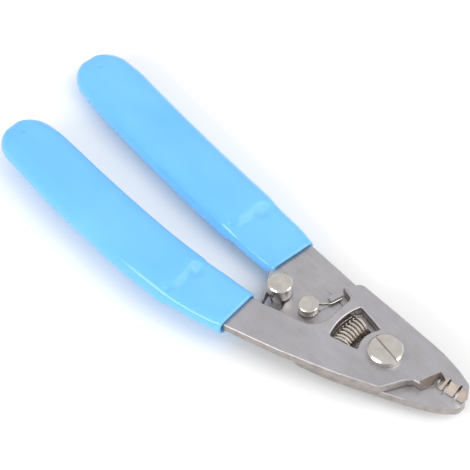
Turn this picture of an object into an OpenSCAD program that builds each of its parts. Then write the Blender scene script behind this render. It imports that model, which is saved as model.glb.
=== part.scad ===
// Fibre stripping pliers with three notches, lying on their side.
// Two flat steel blades turn on one slotted screw. A short coil spring in a
// window through both blades pushes them open, and a thumb lock on the rear
// blade holds them shut. Both handles are dipped in soft vinyl.
// X runs from the handles to the nose, Z is the pivot axis, and the origin is
// under the middle of the whole tool, on the surface it lies on.

/* [Blades] */
// Thickness of each blade
plate_t = 3.1; // [2.8:0.05:3.2]
// Gap between the two blades
plate_gap = 0.1; // [0.05:0.05:0.2]
// Width of the ground bevel behind the cutting edge
bevel_w = 2.6; // [2.2:0.1:2.8]
// Width of each stripping notch at the cutting edge
notch_w = 1.1; // [0.8:0.1:1.3]

/* [Pivot] */
// Diameter of the screw's head
head_d = 10.4; // [9.6:0.1:10.8]
// Height of the screw's head
head_h = 2.3; // [1.8:0.1:2.6]
// Width of the screwdriver slot
slot_w = 0.5; // [0.4:0.1:0.8]
// Diameter of the screw's shank
shank_d = 6; // [5:0.5:6.5]

/* [Opening spring] */
// Inner radius of the spring window, from the pivot
window_r1 = 7.9; // [7.4:0.1:8]
// Outer radius of the spring window, from the pivot
window_r2 = 16.7; // [16.5:0.1:17]
// Wire diameter
wire_d = 0.85; // [0.7:0.05:0.9]
// Outer diameter of the coils
coil_d = 6.8; // [6:0.1:6.9]
// Number of coils
coils = 8; // [7:1:9]

/* [Thumb lock] */
// Diameter of the thumb knob
knob_d = 7.4; // [7:0.1:7.8]
// Height of the thumb knob above the rear blade
knob_h = 5.4; // [4.5:0.1:5.6]
// Diameter of the lock shaft's head
shaft_head_d = 6; // [5.6:0.1:6.2]
// Thickness of the pawl
pawl_t = 1.7; // [1.4:0.1:1.8]
// Wire diameter of the lock spring
lock_wire_d = 0.5; // [0.4:0.05:0.5]
// How far the lock turns to let the handles open, in degrees
lock_swing = 24; // [20:1:24]

/* [Grips] */
// Thickness of the padded part of each grip
grip_t = 9; // [8:0.25:9.2]
// Thickness of the thin collar next to the metal
collar_t = 6; // [5.6:0.2:6.2]

/* [Hidden] */

steel = [0.67, 0.67, 0.69];
nickel = [0.78, 0.75, 0.72];
dark_steel = [0.42, 0.41, 0.4];
vinyl = [0.49, 0.8, 1];

// Heights, from the front blade's top face
front_z = -plate_t;
rear_top = -plate_t - plate_gap;
rear_z = rear_top - plate_t;
front_mid = -plate_t / 2;
rear_mid = rear_top - plate_t / 2;
mid_z = (front_z + rear_top) / 2;

// The lowest point is the underside of the rear grip
base_z = rear_mid - grip_t / 2;
// The middle of the whole tool, from the pivot
mid_x = -57.55;
mid_y = -2.43;

lock_x = -26.7;
lock_y = -3.3;
knob_x = -37.2;
knob_y = -4.1;
crank_t = 1.5;
crank_gap = 0.1;
lever_r = norm([knob_x - lock_x, knob_y - lock_y]);
knob_a = atan2(knob_y - lock_y, knob_x - lock_x);
knob_shank_d = 4.8;
slot_r = 2.9;

module place() { translate([-mid_x, -mid_y, -base_z]) children(); }

function unit(v) = v / norm(v);
function xy(p) = [p[0], p[1]];

// Points of one rounded corner. p, v and q are the corner's neighbours and the
// corner itself as [x, y, radius].
function corner(p, v, q, n) =
    v[2] == 0 ? [xy(v)] :
    let (d1 = unit(xy(p) - xy(v)), d2 = unit(xy(q) - xy(v)),
        h = acos(d1 * d2) / 2,
        c = xy(v) + unit(d1 + d2) * v[2] / sin(h),
        s = xy(v) + d1 * v[2] / tan(h), e = xy(v) + d2 * v[2] / tan(h),
        a0 = atan2(s[1] - c[1], s[0] - c[0]),
        a1 = atan2(e[1] - c[1], e[0] - c[0]),
        da = a1 - a0 > 180 ? a1 - a0 - 360 : a1 - a0 < -180 ? a1 - a0 + 360 : a1 - a0,
        m = max(2, ceil(abs(da) / 90 * n)))
    [for (i = [0:m]) c + v[2] * [cos(a0 + da * i / m), sin(a0 + da * i / m)]];

// A closed outline whose corners each have their own radius
function outline(pts, n = 12) = [for (i = [0:len(pts) - 1])
    each corner(pts[(i + len(pts) - 1) % len(pts)], pts[i], pts[(i + 1) % len(pts)], n)];

module sheet(pts, z, t) { translate([0, 0, z]) linear_extrude(t) polygon(outline(pts)); }

// The front blade: lower handle, lock tooth and upper jaw
front_pts = [
    [-131, -22, 4.5], [-118, -24.8, 60], [-100, -26.6, 90], [-84, -28, 90],
    [-70, -28.4, 90], [-56, -27.8, 60], [-41, -25.6, 60], [-22.2, -20.5, 90],
    [-6, -15.1, 90], [4, -10.9, 20], [6.8, -9.9, 1], [10.4, -3, 0.8], [11.9, -1.4, 1],
    [14.6, -1, 0.3], [16.2, 2.7, 0.1], [25.7, 3.7, 0.4], [26.2, 5.7, 1.2], [24.4, 8.3, 2],
    [19, 10.1, 30], [10, 11.7, 40], [-4, 12.5, 150], [-20.8, 13.2, 2.6], [-23.7, 8.3, 0.5],
    [-19.5, 7, 1.3], [-19.6, -7.7, 7], [-31.5, -10.1, 12], [-37, -11.9, 12], [-41, -12.6, 20],
    [-56, -15.2, 60], [-70, -16, 90], [-84, -15.4, 90], [-100, -14.2, 90],
    [-118, -12.4, 60], [-131, -12.2, 4.5]];

// The rear blade: upper handle, lock corner and lower jaw
rear_pts = [
    [-133, 12, 4.5], [-111, 8.4, 90], [-88, 5.2, 90], [-66, 3, 90],
    [-45.1, 0.3, 4], [-40.1, -9.2, 1.5], [-36.5, -13, 3], [-22, -15.2, 4],
    [-18.4, -17.9, 2.4], [-8.5, -15.4, 60], [1.7, -11.3, 60], [12, -7, 60],
    [18, -4.1, 40], [23.3, -1.1, 20], [26.3, 2, 2.5], [26.2, 5.2, 0.8],
    [25.3, 5.3, 0.3], [16.4, 4.2, 0.1], [14, 7.4, 0.5], [11.4, 6.4, 1],
    [6, 10.4, 1.5], [-12, 12.3, 60],
    [-24, 13.4, 90], [-43.3, 14.9, 60], [-66, 16, 90], [-88, 18.2, 90],
    [-111, 20.8, 90], [-133, 23.6, 4.5]];

// A ground bevel along the edge from p to q. The material is on the left of
// that line; the bevel starts dz above the face at z and is w wide.
module bevel(p, q, w, z, t, up = 1) {
    a = atan2(q[1] - p[1], q[0] - p[0]);
    translate([p[0], p[1], z]) rotate([0, 0, a]) rotate([90, 0, 90])
        linear_extrude(norm(q - p)) polygon([
            [-1.5, up * 0.2], [0, up * 0.2], [w, up * (t + 0.05)], [-1.5, up * (t + 0.05)]]);
}

// A narrow vee through the blade
module notch(x, y0, y1, w, z, t) {
    s = sign(y1 - y0);
    translate([0, 0, z - 0.5]) linear_extrude(t + 1) polygon([
        [x - w / 2 - 0.1, y0 - s * 0.6], [x + w / 2 + 0.1, y0 - s * 0.6],
        [x + 0.15, y1], [x - 0.15, y1]]);
}

// The spring window: part of a ring about the pivot. ends holds the angles of
// its four corners: outer upper, outer lower, inner lower and inner upper.
module window(ends, z) {
    outer = [for (i = [0:12]) let (a = ends[0] + (ends[1] - ends[0]) * i / 12) [window_r2 * cos(a), window_r2 * sin(a), i % 12 == 0 ? 0.5 : 0]];
    inner = [for (i = [0:10]) let (a = ends[2] + (ends[3] - ends[2]) * i / 10) [window_r1 * cos(a), window_r1 * sin(a), i % 10 == 0 ? 0.5 : 0]];
    sheet(concat(outer, inner), z - 0.5, plate_t + 1);
}

module front_blade() {
    color(steel) place() difference() {
        sheet(front_pts, front_z, plate_t);
        translate([0, 0, front_z - 1]) cylinder(d = shank_d + 0.1, h = plate_t + 2, $fn = 64);
        window([155.8, 203, 215.5, 141.5], front_z);
        bevel([16, 2.68], [26.6, 3.8], bevel_w, front_z, plate_t);
        bevel([14.6, -1], [16.9, 5.6], 1.3, front_z, plate_t);
        notch(16.3, 2.7, 5.5, notch_w, front_z, plate_t);
        notch(19.5, 3.1, 6.2, notch_w, front_z, plate_t);
        notch(23.1, 3.4, 6.8, notch_w, front_z, plate_t);
    }
}

module rear_blade() {
    color(steel) place() difference() {
        sheet(rear_pts, rear_z, plate_t);
        translate([0, 0, rear_z - 1]) cylinder(d = shank_d + 0.1, h = plate_t + 2, $fn = 64);
        window([161.8, 211, 236, 154], rear_z);
        bevel([25.8, 5.36], [16, 4.15], 2.2, rear_top, plate_t, -1);
        notch(16.3, 4.2, 1.9, notch_w, rear_z, plate_t);
        notch(19.5, 4.6, 2.2, notch_w, rear_z, plate_t);
        notch(23.1, 5.1, 2.7, notch_w, rear_z, plate_t);
        // Bore for the lock shaft
        translate([lock_x, lock_y, rear_z - 1]) cylinder(d = 4.1, h = plate_t + 2, $fn = 48);
        // Curved slot for the thumb knob's shank
        translate([lock_x, lock_y, rear_z - 1]) {
            rotate([0, 0, knob_a - 1]) rotate_extrude(angle = lock_swing + 2, $fn = 160)
                translate([lever_r - slot_r, 0]) square([2 * slot_r, plate_t + 2]);
            for (a = [-1, lock_swing + 1]) rotate([0, 0, knob_a + a]) translate([lever_r, 0, 0])
                cylinder(r = slot_r, h = plate_t + 2, $fn = 48);
        }
    }
}

module pivot_screw() {
    color(nickel) place() difference() {
        union() {
            rotate_extrude($fn = 96) polygon([
                [0, 0.05], [head_d / 2, 0.05], [head_d / 2, head_h - 0.55],
                [head_d / 2 - 0.55, head_h], [0, head_h]]);
            translate([0, 0, rear_z - 1.7]) cylinder(d = shank_d, h = 1.8 - rear_z, $fn = 64);
        }
        // Screwdriver slot
        rotate([0, 0, -11]) translate([-head_d, -slot_w / 2, head_h - 0.9])
            cube([2 * head_d, slot_w, 2]);
    }
}

module pivot_nut() {
    color(nickel) place() difference() {
        translate([0, 0, rear_z - 2.2]) rotate_extrude($fn = 96) polygon([
            [0, 0], [4.1, 0], [4.6, 0.5], [4.6, 2.15], [0, 2.15]]);
        translate([0, 0, rear_z - 1.7]) cylinder(d = shank_d, h = 4, $fn = 64);
        rotate([0, 0, 30]) translate([-6, -0.5, rear_z - 3]) cube([12, 1, 1.4]);
    }
}

// A wire of diameter d along a path of points, with each ring square to it
function frame_at(path, i) =
    let (t = unit(path[min(i + 1, len(path) - 1)] - path[max(i - 1, 0)]),
        s = abs(t[2]) > 0.9 ? [1, 0, 0] : [0, 0, 1],
        u = unit(cross(s, t)), v = cross(t, u)) [u, v];
module wire(path, d, n = 8) {
    pts = [for (i = [0:len(path) - 1]) let (f = frame_at(path, i))
        for (k = [0:n - 1]) path[i] + d / 2 * (cos(360 * k / n) * f[0] + sin(360 * k / n) * f[1])];
    m = len(path);
    faces = [
        [for (k = [0:n - 1]) k],
        [for (k = [n - 1:-1:0]) (m - 1) * n + k],
        for (i = [0:m - 2], k = [0:n - 1]) each [
            [i * n + k, (i + 1) * n + k, (i + 1) * n + (k + 1) % n],
            [i * n + k, (i + 1) * n + (k + 1) % n, i * n + (k + 1) % n]]];
    polyhedron(pts, faces);
}

// The opening spring is bent a little round the pivot. Its end coils are
// closed; pitch holds the share of the spring's length at each turn.
spring_r = 24;
spring_y = -0.7;
spring_a = 11.3;
closed = 1.1 * wire_d / (2 * spring_r * sin(spring_a));
function pitch(s) = s < 1 ? closed * s : s > coils - 1 ? 1 - closed * (coils - s) :
    closed + (1 - 2 * closed) * (s - 1) / (coils - 2);
module opening_spring() {
    steps = 20;
    r = (coil_d - wire_d) / 2;
    path = [for (i = [0:steps * coils]) let (s = i / steps,
        f = spring_a * (2 * pitch(s) - 1),
        q = spring_r + r * cos(360 * s))
        [-12.5 + spring_r - q * cos(f), spring_y + q * sin(f), mid_z + r * sin(360 * s)]];
    color(nickel) place() wire(path, wire_d);
}

// One grip as a skin lofted along its handle: each station is
// [x, y, half width, half thickness, slope of the section in degrees]
module grip_skin(st, zc) {
    n = 28;
    m = len(st);
    // Flattened section: a rounded bar, superelliptic with power 2.6
    function sec(k) = let (a = 360 * k / n)
        [sign(cos(a)) * pow(abs(cos(a)), 2 / 2.8), sign(sin(a)) * pow(abs(sin(a)), 2 / 2.8)];
    pts = [for (s = st) for (k = [0:n - 1]) let (q = sec(k))
        [s[0] - sin(s[4]) * q[0] * s[2], s[1] + cos(s[4]) * q[0] * s[2], zc + q[1] * s[3]]];
    faces = [
        [for (k = [0:n - 1]) k],
        [for (k = [n - 1:-1:0]) (m - 1) * n + k],
        for (i = [0:m - 2], k = [0:n - 1]) each [
            [i * n + k, (i + 1) * n + k, (i + 1) * n + (k + 1) % n],
            [i * n + k, (i + 1) * n + (k + 1) % n, i * n + (k + 1) % n]]];
    polyhedron(pts, faces);
}

// Half thickness of the padded part and of the collar
gh = grip_t / 2;
ch = collar_t / 2;

// The rounded tip that follows station s: len long, turned dir degrees from -X
function tip(s, len, dir) = [for (a = [12:12:84], e = [cos(a)])
    [s[0] - len * sin(a) * cos(dir), s[1] - len * sin(a) * sin(dir),
        s[2] * pow(e, 0.85), s[3] * pow(e, 0.7), s[4]]];

front_end = [-128, -17.9, 8.5, gh, 0];
front_stations = concat([
    [-39.9, -19.2, 6.2, 2.2, 3], [-40.3, -19.2, 7.3, ch - 0.3, 3], [-41.4, -19.3, 7.8, ch, 4],
    [-45, -19.8, 8.3, ch, 6], [-50, -20.4, 8.7, ch, 6], [-56, -21.1, 8.9, ch, 5], [-58, -21.4, 9, ch + 0.2, 4],
    [-59.5, -21.6, 9.3, gh - 0.5, 3], [-61, -21.7, 9.5, gh, 2],
    [-70, -21.9, 9.5, gh, -1], [-80, -21.7, 9.5, gh, -3], [-90, -21.1, 9.4, gh, -4],
    [-100, -20.5, 9.4, gh, -5], [-110, -19.6, 9.3, gh, -5], [-118, -18.7, 9.1, gh, -4],
    [-124, -18.1, 8.9, gh, -2], front_end], tip(front_end, 9, 2));
rear_end = [-131.5, 17.6, 9, gh, -7];
rear_stations = concat([
    [-42.9, 7.7, 6.4, 2.2, -7], [-43.5, 7.7, 7.6, ch - 0.3, -7], [-44.8, 7.9, 8.2, ch, -7],
    [-49, 8.4, 8.7, ch, -6], [-54, 8.8, 8.9, ch, -6], [-59, 9.2, 9, ch, -6], [-61, 9.4, 9.1, ch + 0.2, -6],
    [-62.5, 9.5, 9.3, gh - 0.5, -6], [-64, 9.6, 9.6, gh, -6],
    [-75, 10.6, 9.6, gh, -6], [-85, 11.6, 9.6, gh, -6], [-95, 12.7, 9.6, gh, -7],
    [-105, 13.9, 9.6, gh, -8], [-114, 15.1, 9.6, gh, -8], [-121, 16.1, 9.6, gh, -8],
    [-126, 16.9, 9.5, gh, -8], rear_end], tip(rear_end, 9.8, -5));

module front_grip() {
    color(vinyl) place() difference() {
        grip_skin(front_stations, front_mid);
        sheet(front_pts, front_z, plate_t);
    }
}

module rear_grip() {
    color(vinyl) place() difference() {
        grip_skin(rear_stations, rear_mid);
        sheet(rear_pts, rear_z, plate_t);
    }
}

// The lock turns as one piece: pawl in front, crank behind, one shaft. The
// pawl is a block on the end of a thin arm.
pawl_z = rear_top + 0.1;
arm_t = 0.5;
arm_pts = [
    [-24.3, -1.6, 1], [-23.6, 3.2, 0.3], [-25.3, 3.6, 0.3], [-27.4, -0.6, 1]];
block_pts = [[-23.5, 3, 0.4], [-22.5, 7.1, 0.6], [-24.1, 7.6, 0.6], [-25.3, 3.5, 0.3]];
module lock_pawl() {
    color(steel) place() difference() {
        union() {
            translate([0, 0, pawl_z]) linear_extrude(arm_t) union() {
                translate([lock_x, lock_y]) circle(r = 2.9, $fn = 64);
                polygon(outline(arm_pts));
            }
            sheet(block_pts, pawl_z, pawl_t);
        }
        translate([lock_x, lock_y, pawl_z - 1]) cylinder(d = 4, h = pawl_t + 2, $fn = 48);
    }
}

module lock_shaft() {
    color(nickel) place() translate([lock_x, lock_y, 0]) {
        translate([0, 0, rear_z - crank_gap - crank_t])
            cylinder(d = 4, h = crank_t + crank_gap - rear_z + 0.2, $fn = 48);
        rotate_extrude($fn = 64) polygon([
            [0, 0], [shaft_head_d / 2, 0], [shaft_head_d / 2, 0.75],
            [shaft_head_d / 2 - 0.25, 1], [0, 1]]);
    }
}

module lock_crank() {
    z = rear_z - crank_gap - crank_t;
    color(steel) place() difference() {
        translate([0, 0, z]) linear_extrude(crank_t) union() {
            translate([lock_x, lock_y]) circle(d = 7, $fn = 64);
            translate([knob_x, knob_y]) circle(d = 5.4, $fn = 64);
            translate([lock_x, lock_y]) rotate(knob_a) polygon([[0, -3.2], [lever_r, -2.4], [lever_r, 2.4], [0, 3.2]]);
        }
        translate([lock_x, lock_y, z - 1]) cylinder(d = 4, h = crank_t + 2, $fn = 48);
        translate([knob_x, knob_y, z - 1]) cylinder(d = 3.4, h = crank_t + 2, $fn = 48);
    }
}

module thumb_knob() {
    z = rear_z - crank_gap;
    color(nickel) place() translate([knob_x, knob_y, 0]) difference() {
        union() {
            rotate_extrude($fn = 96) translate([0, rear_top]) polygon([
                [0, 0.5], [knob_d / 2 - 0.2, 0.5], [knob_d / 2, 0.7], [knob_d / 2, knob_h - 0.35],
                [knob_d / 2 - 0.35, knob_h], [0, knob_h]]);
            translate([0, 0, z]) cylinder(d = knob_shank_d, h = rear_top - z + 0.6, $fn = 64);
            translate([0, 0, z - crank_t]) cylinder(d = 3.4, h = crank_t + 0.1, $fn = 48);
        }
        // Lathe centre mark
        translate([0, 0, rear_top + knob_h - 0.15]) cylinder(d1 = 0, d2 = 0.6, h = 0.3, $fn = 24);
    }
}

// The lock spring: coils round the shaft, with one leg that runs out to the
// pawl and along its flank
module lock_spring() {
    r = 2.95 - lock_wire_d / 2;
    z0 = pawl_z + arm_t + lock_wire_d / 2 + 0.04;
    z1 = -0.04 - lock_wire_d / 2;
    turns = 3.1;
    a1 = 125;
    n = 60;
    leg = [[-22.4, 6.4, z0], [-23.1, 3.6, z0], [-23.5, 2.7, z0], [-24.3, 2, z0], [-25, 1.2, z0], [-26.8, -0.1, z0]];
    coil = [for (i = [0:n]) let (a = a1 + i * turns * 360 / n)
        [lock_x + r * cos(a), lock_y + r * sin(a), z0 + (z1 - z0) * i / n]];
    color(nickel) place() wire(concat(leg, coil), lock_wire_d);
}

front_blade();
rear_blade();
pivot_screw();
pivot_nut();
opening_spring();
front_grip();
rear_grip();
lock_pawl();
lock_shaft();
lock_crank();
thumb_knob();
lock_spring();
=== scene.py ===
import bpy, bmesh, math
from mathutils import Vector, Matrix


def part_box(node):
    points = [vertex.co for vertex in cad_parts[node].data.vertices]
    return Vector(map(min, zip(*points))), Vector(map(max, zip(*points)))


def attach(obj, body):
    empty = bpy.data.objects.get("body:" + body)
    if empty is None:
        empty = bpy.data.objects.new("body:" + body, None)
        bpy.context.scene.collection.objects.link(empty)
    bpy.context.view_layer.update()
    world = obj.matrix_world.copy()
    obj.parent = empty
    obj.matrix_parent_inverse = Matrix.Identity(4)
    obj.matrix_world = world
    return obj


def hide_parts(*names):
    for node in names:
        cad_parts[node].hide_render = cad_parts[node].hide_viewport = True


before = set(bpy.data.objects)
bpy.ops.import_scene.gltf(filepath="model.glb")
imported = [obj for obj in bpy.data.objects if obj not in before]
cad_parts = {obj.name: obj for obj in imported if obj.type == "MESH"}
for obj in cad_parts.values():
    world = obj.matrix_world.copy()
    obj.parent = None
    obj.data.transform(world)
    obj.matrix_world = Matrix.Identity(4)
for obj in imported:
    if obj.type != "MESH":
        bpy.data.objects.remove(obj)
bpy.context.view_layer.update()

MM = 0.001


# ---------------------------------------------------------------- places
screw_lo, screw_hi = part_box("pivot_screw")
blade_lo, blade_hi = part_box("front_blade")
rear_lo, rear_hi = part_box("rear_blade")
knob_lo, knob_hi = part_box("thumb_knob")
shaft_lo, shaft_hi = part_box("lock_shaft")
PX = (screw_lo[0] + screw_hi[0]) / 2          # pivot axis
PY = (screw_lo[1] + screw_hi[1]) / 2
Z0 = blade_hi[2]                              # front blade's top face
FRONT_MID = (blade_lo[2] + blade_hi[2]) / 2
REAR_MID = (rear_lo[2] + rear_hi[2]) / 2


def at(x, y, z=0.0):
    """Millimetres from the pivot, on the front blade's top face, to the row frame."""
    return Vector((PX + x * MM, PY + y * MM, Z0 + z * MM))


# ---------------------------------------------------------------- node helpers
def new_mat(name):
    m = bpy.data.materials.new(name)
    m.use_nodes = True
    nt = m.node_tree
    nt.nodes.clear()
    out = nt.nodes.new("ShaderNodeOutputMaterial")
    b = nt.nodes.new("ShaderNodeBsdfPrincipled")
    nt.links.new(b.outputs[0], out.inputs[0])
    return m, nt, b


def ramp(nt, src, stops):
    r = nt.nodes.new("ShaderNodeValToRGB")
    el = r.color_ramp.elements
    while len(el) < len(stops):
        el.new(0.5)
    for e, (p, c) in zip(el, stops):
        e.position = p
        e.color = (*c, 1) if len(c) == 3 else c
    nt.links.new(src, r.inputs[0])
    return r


def coords(nt, scale=(1, 1, 1), rot=(0, 0, 0), loc=(0, 0, 0)):
    tc = nt.nodes.new("ShaderNodeTexCoord")
    mp = nt.nodes.new("ShaderNodeMapping")
    mp.inputs["Scale"].default_value = scale
    mp.inputs["Rotation"].default_value = rot
    mp.inputs["Location"].default_value = loc
    nt.links.new(tc.outputs["Object"], mp.inputs["Vector"])
    return mp.outputs[0]


def noise(nt, vec_out, scale, detail=4.0, rough=0.55):
    n = nt.nodes.new("ShaderNodeTexNoise")
    n.inputs["Scale"].default_value = scale
    n.inputs["Detail"].default_value = detail
    n.inputs["Roughness"].default_value = rough
    nt.links.new(vec_out, n.inputs["Vector"])
    return n.outputs["Fac"]


def mix_col(nt, fac, a, b, mode="MIX"):
    m = nt.nodes.new("ShaderNodeMix")
    m.data_type = "RGBA"
    m.blend_type = mode
    if isinstance(fac, (int, float)):
        m.inputs[0].default_value = fac
    else:
        nt.links.new(fac, m.inputs[0])
    for sock, v in ((m.inputs[6], a), (m.inputs[7], b)):
        if isinstance(v, tuple):
            sock.default_value = (*v, 1)
        else:
            nt.links.new(v, sock)
    return m.outputs[2]


def math_node(nt, op, a, b=None, clamp=False):
    m = nt.nodes.new("ShaderNodeMath")
    m.operation = op
    m.use_clamp = clamp
    for i, v in enumerate((a, b)):
        if v is None:
            continue
        if isinstance(v, (int, float)):
            m.inputs[i].default_value = v
        else:
            nt.links.new(v, m.inputs[i])
    return m.outputs[0]


def span(nt, v, a0, a1, b0, b1):
    r = nt.nodes.new("ShaderNodeMapRange")
    r.inputs["From Min"].default_value = a0
    r.inputs["From Max"].default_value = a1
    r.inputs["To Min"].default_value = b0
    r.inputs["To Max"].default_value = b1
    nt.links.new(v, r.inputs["Value"])
    return r.outputs["Result"]


def bump(nt, bsdf, height, dist, strength=1.0):
    b = nt.nodes.new("ShaderNodeBump")
    b.inputs["Strength"].default_value = strength
    b.inputs["Distance"].default_value = dist
    nt.links.new(height, b.inputs["Height"])
    nt.links.new(b.outputs[0], bsdf.inputs["Normal"])


# ---------------------------------------------------------------- materials
def blade_material(name, tint=(1, 1, 1), grain_angle=0.0):
    """Bead-blasted, lightly tumbled stainless sheet: cool grey, faint cloudy patches, fine grain and pinpricks."""
    m, nt, b = new_mat(name)
    fine = noise(nt, coords(nt), 5200, 3, 0.6)
    cloud = noise(nt, coords(nt, loc=(0.3, 0.1, 0)), 70, 3, 0.5)
    streak = noise(nt, coords(nt, scale=(120, 2400, 300), rot=(0, 0, grain_angle)), 1.0, 4, 0.6)
    base = ramp(nt, cloud, [(0.3, (0.455 * tint[0], 0.445 * tint[1], 0.465 * tint[2])),
                            (0.7, (0.52 * tint[0], 0.505 * tint[1], 0.53 * tint[2]))]).outputs[0]
    grain = ramp(nt, streak, [(0.3, (0.9, 0.9, 0.9)), (0.7, (1.06, 1.06, 1.06))]).outputs[0]
    col = mix_col(nt, 0.55, base, grain, "MULTIPLY")
    wipe = ramp(nt, noise(nt, coords(nt, scale=(1, 2.4, 1), rot=(0, 0, grain_angle + 0.7)), 190, 3, 0.6),
                [(0.3, (0.93, 0.92, 0.92)), (0.7, (1.04, 1.04, 1.05))]).outputs[0]
    col = mix_col(nt, 0.8, col, wipe, "MULTIPLY")
    nt.links.new(col, b.inputs["Base Color"])
    b.inputs["Metallic"].default_value = 0.82
    rough = math_node(nt, "ADD", span(nt, fine, 0.3, 0.7, 0.3, 0.37), span(nt, cloud, 0.3, 0.7, -0.03, 0.04))
    nt.links.new(rough, b.inputs["Roughness"])
    bump(nt, b, fine, 0.000006, 0.4)
    return m


def facet_material(name):
    """Ground bevel with cross-wise grinding lines; its warmer, darker tone is a painted reflection of a warm
    surround.
    """
    m, nt, b = new_mat(name)
    line = noise(nt, coords(nt, scale=(5000, 300, 900)), 1.0, 3, 0.6)
    cloud = noise(nt, coords(nt), 260, 3, 0.5)
    # warm dark brown base: painted reflection, not the steel's own colour; the grinding lines are real
    base = ramp(nt, cloud, [(0.3, (0.25, 0.21, 0.18)), (0.7, (0.36, 0.31, 0.28))]).outputs[0]
    grain = ramp(nt, line, [(0.3, (0.82, 0.8, 0.79)), (0.7, (1.08, 1.07, 1.05))]).outputs[0]
    nt.links.new(mix_col(nt, 0.8, base, grain, "MULTIPLY"), b.inputs["Base Color"])
    b.inputs["Metallic"].default_value = 0.85
    nt.links.new(span(nt, line, 0.3, 0.7, 0.4, 0.52), b.inputs["Roughness"])
    bump(nt, b, line, 0.00002, 0.5)
    return m


def nickel_material(name, a, c, r0, r1, metal=1.0):
    m, nt, b = new_mat(name)
    fine = noise(nt, coords(nt), 2600, 3, 0.6)
    cloud = noise(nt, coords(nt, loc=(0.2, 0.5, 0.1)), 420, 2, 0.5)
    nt.links.new(ramp(nt, cloud, [(0.3, a), (0.7, c)]).outputs[0], b.inputs["Base Color"])
    b.inputs["Metallic"].default_value = metal
    nt.links.new(span(nt, fine, 0.3, 0.7, r0, r1), b.inputs["Roughness"])
    bump(nt, b, fine, 0.000003, 0.3)
    return m


def vinyl_material(name):
    """Dipped vinyl: pale sky blue, glossy skin over a faintly milky body."""
    m, nt, b = new_mat(name)
    cloud = noise(nt, coords(nt, scale=(1, 1.6, 1.6)), 45, 2, 0.5)
    fine = noise(nt, coords(nt), 900, 3, 0.5)
    base = ramp(nt, cloud, [(0.3, (0.15, 0.5, 0.93)), (0.7, (0.18, 0.545, 0.96))]).outputs[0]
    speck = ramp(nt, fine, [(0.25, (0.985, 0.992, 0.997)), (0.75, (1, 1, 1))]).outputs[0]
    nt.links.new(mix_col(nt, 0.6, base, speck, "MULTIPLY"), b.inputs["Base Color"])
    nt.links.new(span(nt, cloud, 0.3, 0.7, 0.1, 0.17), b.inputs["Roughness"])
    b.inputs["Subsurface Weight"].default_value = 0.12
    b.inputs["Subsurface Radius"].default_value = (0.3, 0.6, 1.0)
    b.inputs["Subsurface Scale"].default_value = 0.002
    b.inputs["IOR"].default_value = 1.5
    bump(nt, b, noise(nt, coords(nt), 110, 1, 0.4), 0.0001, 0.3)
    return m


STEEL_F = blade_material("blade_steel_front", (1, 1, 1), 0.1)
STEEL_R = blade_material("blade_steel_rear", (1.03, 1.03, 1.02), -0.2)
FACET = facet_material("ground_bevel_painted_reflection")
# side walls: the blade steel again, darker and browner; painted shade standing in for the dim floor the walls
# reflect
SIDE = nickel_material("side_wall_painted_shade", (0.33, 0.29, 0.27), (0.46, 0.42, 0.4), 0.28, 0.42, 0.95)
PIN = nickel_material("nickel_pins", (0.62, 0.57, 0.53), (0.72, 0.68, 0.64), 0.2, 0.3)
WIRE = nickel_material("spring_wire_bright", (0.62, 0.56, 0.5), (0.75, 0.7, 0.64), 0.2, 0.32)
VINYL = vinyl_material("dipped_vinyl")


# ---------------------------------------------------------------- mesh helpers
def link(name, me):
    o = bpy.data.objects.new(name, me)
    bpy.context.scene.collection.objects.link(o)
    return o


def smooth_by_angle(me, deg):
    for p in me.polygons:
        p.use_smooth = True
    bm = bmesh.new()
    bm.from_mesh(me)
    lim = math.radians(deg)
    for e in bm.edges:
        e.smooth = not (len(e.link_faces) == 2 and e.calc_face_angle(0) > lim)
    bm.to_mesh(me)
    bm.free()


def eased(node_name, piece_name, width, segments, body, mats, choose, weld=2e-6):
    """A copy of a CAD node with its edges eased by real roundings."""
    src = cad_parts[node_name]
    bm = bmesh.new()
    bm.from_mesh(src.data)
    bmesh.ops.remove_doubles(bm, verts=bm.verts, dist=weld)
    bmesh.ops.dissolve_limit(bm, angle_limit=math.radians(0.4), verts=bm.verts, edges=bm.edges)
    # very small corner arcs become one corner, so that the rounding has room
    bmesh.ops.remove_doubles(bm, verts=bm.verts, dist=0.14 * MM)
    bm.normal_update()
    lim = math.radians(25)
    # the teeth keep crisp edges; every other edge is rounded over
    for teeth, w, seg in ((True, 0.13 * MM, 2), (False, width, segments)):
        picked = [e for e in bm.edges if len(e.link_faces) == 2 and e.calc_face_angle(0) > lim
                  and (min(e.verts[0].co.x, e.verts[1].co.x) > PX + 12.2 * MM) == teeth]
        bmesh.ops.bevel(bm, geom=picked, offset=w, offset_type="OFFSET", segments=seg, profile=0.5,
                        affect="EDGES", clamp_overlap=False, miter_outer="ARC", miter_inner="SHARP")
        bm.normal_update()
    bmesh.ops.triangulate(bm, faces=[f for f in bm.faces if len(f.verts) > 4], quad_method="BEAUTY", ngon_method="BEAUTY")
    bm.normal_update()
    lo_n, hi_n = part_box(node_name)
    for v in bm.verts:
        v.co = Vector([min(max(v.co[i], lo_n[i]), hi_n[i]) for i in range(3)])
    for f in bm.faces:
        f.material_index = choose(f.calc_center_median(), f.normal)
        f.smooth = True
    for e in bm.edges:
        e.smooth = not (len(e.link_faces) == 2 and e.calc_face_angle(0) > math.radians(38))
    me = bpy.data.meshes.new(piece_name)
    bm.to_mesh(me)
    bm.free()
    for mt in mats:
        me.materials.append(mt)
    o = link(piece_name, me)
    w = o.modifiers.new("normals", "WEIGHTED_NORMAL")
    w.keep_sharp = True
    w.weight = 60
    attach(o, body)
    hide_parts(node_name)
    return o


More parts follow.
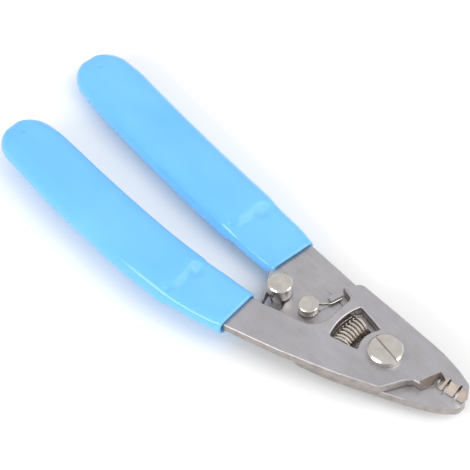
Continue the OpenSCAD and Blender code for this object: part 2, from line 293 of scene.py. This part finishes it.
# ---------------------------------------------------------------- camera
def rig_camera():
    f_px, el, az, dist = 2350.0, math.radians(54), math.radians(44), 2350.0 / 3.52
    sx, sy = 385.2, 352.4
    t = Vector(((sx - 235) / f_px * dist, (sy - 235) / f_px * dist, dist))
    rz = Matrix(((math.cos(az), math.sin(az), 0), (-math.sin(az), math.cos(az), 0), (0, 0, 1)))
    rx = Matrix(((1, 0, 0), (0, -math.sin(el), -math.cos(el)), (0, math.cos(el), -math.sin(el))))
    r = rx @ rz
    pos = -(r.transposed() @ t) * MM
    right, down, fwd = Vector(r[0]), Vector(r[1]), Vector(r[2])
    cam = bpy.data.cameras.new("camera")
    cam.sensor_width = 36
    cam.sensor_fit = "HORIZONTAL"
    cam.lens = f_px / 470 * 36
    cam.clip_start, cam.clip_end = 0.05, 20
    o = bpy.data.objects.new("camera", cam)
    bpy.context.scene.collection.objects.link(o)
    m = Matrix((
        (right.x, -down.x, -fwd.x, PX + pos.x),
        (right.y, -down.y, -fwd.y, PY + pos.y),
        (right.z, -down.z, -fwd.z, Z0 + pos.z),
        (0, 0, 0, 1)))
    o.matrix_world = m
    bpy.context.scene.camera = o
    return o


rig_camera()


# ---------------------------------------------------------------- blades
# faces steeper than the top (index 1) get SIDE, a darker painted shade; the jaw's bevel facets (index 2) get
# FACET, a painted reflection
def front_choose(c, n):
    if c.x > PX + 13.5 * MM and 0.25 < n.z < 0.97 and n.y < 0.2 and c.z > blade_lo[2] + 0.05 * MM:
        return 2
    return 0 if abs(n.z) > 0.6 else 1


def rear_choose(c, n):
    if c.x > PX + 13.5 * MM and -0.97 < n.z < -0.25:
        return 2
    return 0 if abs(n.z) > 0.6 else 1


eased("front_blade", "front_blade_eased", 0.55 * MM, 4, "front_half", [STEEL_F, SIDE, FACET], front_choose)
eased("rear_blade", "rear_blade_eased", 0.45 * MM, 4, "rear_half", [STEEL_R, SIDE, FACET], rear_choose)

# ---------------------------------------------------------------- small metal parts
for name, mat in (("pivot_screw", PIN), ("pivot_nut", PIN), ("opening_spring", WIRE), ("lock_pawl", STEEL_F),
                  ("lock_shaft", PIN), ("lock_crank", STEEL_R), ("thumb_knob", PIN), ("lock_spring", WIRE)):
    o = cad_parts[name]
    o.data.materials.clear()
    o.data.materials.append(mat)


# ---------------------------------------------------------------- grips
def grip(name, node_name, body, stations, zc, dents, n=96):
    """A dipped grip lofted along its handle. Each station: x, y, half width, half thickness, slope, power."""
    verts, faces = [], []
    for (x, y, w, t, a, p) in stations:
        s, c = math.sin(math.radians(a)), math.cos(math.radians(a))
        for k in range(n):
            u = 2 * math.pi * k / n
            q = math.copysign(abs(math.cos(u)) ** (2 / p), math.cos(u))
            r = math.copysign(abs(math.sin(u)) ** (2 / p), math.sin(u))
            z = r * t
            # the top is pressed flat, and breaks over a ridge towards each side
            if r > 0:
                full = 0.85 + 0.06 * min(max((t - 3.0) / 1.5, 0), 1)
                z = min(z / full, t * (1 - 0.01 * q * q))
            # pressed dimple where the padding ends, and a fold on the near ridge
            for (dx, dq, rx, rq, dz) in dents:
                e = ((x - dx) / rx) ** 2 + ((q - dq) / rq) ** 2
                if e < 1 and r > 0:
                    z -= dz * (1 - e) ** 2
            verts.append((PX + (x - s * q * w) * MM, PY + (y + c * q * w) * MM, zc + z * MM))
    lo_n, hi_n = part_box(node_name)
    verts = [tuple(min(max(v[i], lo_n[i]), hi_n[i]) for i in range(3)) for v in verts]
    m = len(stations)
    for i in range(m - 1):
        for k in range(n):
            a, b = i * n + k, i * n + (k + 1) % n
            faces.append((a, b, b + n, a + n))
    faces.append(tuple(range((m - 1) * n, m * n)))
    faces.append(tuple(range(n - 1, -1, -1)))
    me = bpy.data.meshes.new(name)
    me.from_pydata(verts, [], faces)
    me.validate()
    bm = bmesh.new()
    bm.from_mesh(me)
    bmesh.ops.recalc_face_normals(bm, faces=bm.faces)
    bm.to_mesh(me)
    bm.free()
    for p in me.polygons:
        p.use_smooth = True
    me.materials.append(VINYL)
    o = link(name, me)
    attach(o, body)
    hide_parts(node_name)
    return o


def resample(st, step):
    """Smooth stations between the listed ones (Catmull-Rom on every value)."""
    out = []
    for i in range(len(st) - 1):
        p0, p1, p2, p3 = st[max(i - 1, 0)], st[i], st[i + 1], st[min(i + 2, len(st) - 1)]
        d = math.hypot(p2[0] - p1[0], p2[1] - p1[1])
        k = max(1, round(d / step))
        for j in range(k):
            t = j / k
            row = []
            for a, b, c, e in zip(p0, p1, p2, p3):
                row.append(0.5 * (2 * b + (c - a) * t + (2 * a - 5 * b + 4 * c - e) * t * t + (3 * b - a - 3 * c + e) * t ** 3))
            out.append(row)
    out.append(list(st[-1]))
    return out


def tip(s, length, direction):
    rows = []
    d = math.radians(direction)
    for a in range(3, 90, 3):
        r = math.radians(a)
        e = math.cos(r)
        rows.append([s[0] - length * math.sin(r) * math.cos(d), s[1] - length * math.sin(r) * math.sin(d),
                     s[2] * e ** 0.85, s[3] * e ** 0.7, s[4], s[5] + (2.0 - s[5]) * a / 90])
    return rows


F_END = [-128, -17.9, 8.5, 4.5, 0, 2.6]
FRONT_ST = [
    [-41.2, -19.2, 6.9, 1.62, 3, 3.6], [-39.97, -19.2, 7.2, 2.4, 3, 3.5], [-39.9, -19.2, 7.4, 2.7, 3, 3.4],
    [-40.15, -19.2, 7.7, 3.0, 3, 3.2], [-40.8, -19.2, 7.85, 3.16, 3, 3.1], [-42, -19.3, 7.95, 3.04, 4, 3.0], [-45, -19.8, 8.3, 3, 6, 2.9], [-50, -20.4, 8.7, 3, 6, 2.8],
    [-55, -21.0, 8.9, 3.05, 5, 2.8], [-57.4, -21.3, 9.0, 3.3, 4, 2.8], [-59.2, -21.5, 9.3, 4.05, 3, 2.7],
    [-60.8, -21.7, 9.45, 4.42, 2, 2.6], [-63, -21.8, 9.5, 4.5, 1, 2.6],
    [-70, -21.9, 9.5, 4.5, -1, 2.6], [-80, -21.7, 9.5, 4.5, -3, 2.6], [-90, -21.1, 9.4, 4.5, -4, 2.6],
    [-100, -20.5, 9.4, 4.5, -5, 2.6], [-110, -19.6, 9.3, 4.5, -5, 2.6], [-118, -18.7, 9.1, 4.5, -4, 2.6],
    [-124, -18.1, 8.9, 4.5, -2, 2.6], F_END]
R_END = [-131.5, 17.6, 9, 4.5, -7, 2.6]
REAR_ST = [
    [-44.2, 7.7, 7.0, 1.62, -7, 3.6], [-42.97, 7.7, 7.4, 2.4, -7, 3.5], [-42.9, 7.7, 7.6, 2.7, -7, 3.4],
    [-43.15, 7.7, 7.9, 3.0, -7, 3.2], [-43.8, 7.75, 8.1, 3.16, -7, 3.1], [-45, 7.9, 8.25, 3.04, -7, 3.0], [-49, 8.4, 8.7, 3, -6, 2.9], [-54, 8.8, 8.9, 3, -6, 2.8],
    [-58.5, 9.2, 9.0, 3.05, -6, 2.8], [-60.6, 9.4, 9.1, 3.3, -6, 2.8], [-62.4, 9.5, 9.35, 4.05, -6, 2.7],
    [-64, 9.6, 9.55, 4.42, -6, 2.6], [-66.5, 9.8, 9.6, 4.5, -6, 2.6],
    [-75, 10.6, 9.6, 4.5, -6, 2.6], [-85, 11.6, 9.6, 4.5, -6, 2.6], [-95, 12.7, 9.6, 4.5, -7, 2.6],
    [-105, 13.9, 9.6, 4.5, -8, 2.6], [-114, 15.1, 9.6, 4.5, -8, 2.6], [-121, 16.1, 9.6, 4.5, -8, 2.6],
    [-126, 16.9, 9.5, 4.5, -8, 2.6], R_END]

grip("front_grip_dipped", "front_grip", "front_half", resample(FRONT_ST, 0.6) + tip(F_END, 9.0, 2), FRONT_MID,
     [(-57.2, 0.4, 3.0, 0.45, 0.9), (-59.4, -0.66, 1.5, 0.2, 1.0), (-130.9, 0.02, 0.8, 0.1, 0.8)])
grip("rear_grip_dipped", "rear_grip", "rear_half", resample(REAR_ST, 0.6) + tip(R_END, 9.8, -5), REAR_MID,
     [(-60.6, 0.4, 3.0, 0.45, 0.9), (-63.0, -0.66, 1.5, 0.2, 1.0), (-134.7, -0.02, 0.8, 0.1, 0.8)])


# ---------------------------------------------------------------- floor and light
def stage():
    m, nt, b = new_mat("studio_paper")
    f = noise(nt, coords(nt), 30, 3, 0.5)
    nt.links.new(ramp(nt, f, [(0.3, (0.955, 0.955, 0.955)), (0.7, (0.975, 0.975, 0.975))]).outputs[0], b.inputs["Base Color"])
    b.inputs["Roughness"].default_value = 0.85
    b.inputs["Specular IOR Level"].default_value = 0.1
    me = bpy.data.meshes.new("floor")
    s = 3.0
    me.from_pydata([(-s, -s, 0), (s, -s, 0), (s, s, 0), (-s, s, 0)], [], [(0, 1, 2, 3)])
    me.materials.append(m)
    o = link("floor", me)
    o.location = (0, 0, -0.0002)


def area(name, loc, target, size, size_y, power, color=(1, 1, 1)):
    li = bpy.data.lights.new(name, "AREA")
    li.shape = "RECTANGLE"
    li.size, li.size_y, li.energy, li.color = size, size_y, power, color
    o = bpy.data.objects.new(name, li)
    bpy.context.scene.collection.objects.link(o)
    o.location = loc
    d = Vector(target) - Vector(loc)
    o.rotation_mode = "QUATERNION"
    o.rotation_quaternion = d.to_track_quat("-Z", "Y")
    return o


stage()
area("key", (0.8, 0.5, 1.3), (0, 0, 0), 1.2, 1.2, 7)
area("edge", (-0.13, -0.95, 0.55), (0, 0, 0), 0.8, 0.35, 5)
area("window", (0.8, 0.46, 0.43), (0, 0, 0), 0.4, 0.3, 1.2)

world = bpy.data.worlds.new("studio")
world.use_nodes = True
bg = world.node_tree.nodes["Background"]
bg.inputs[0].default_value = (1, 1, 1, 1)
bg.inputs[1].default_value = 0.8
bpy.context.scene.world = world
bpy.context.scene.view_settings.view_transform = "Standard"
bpy.context.scene.view_settings.look = "None"
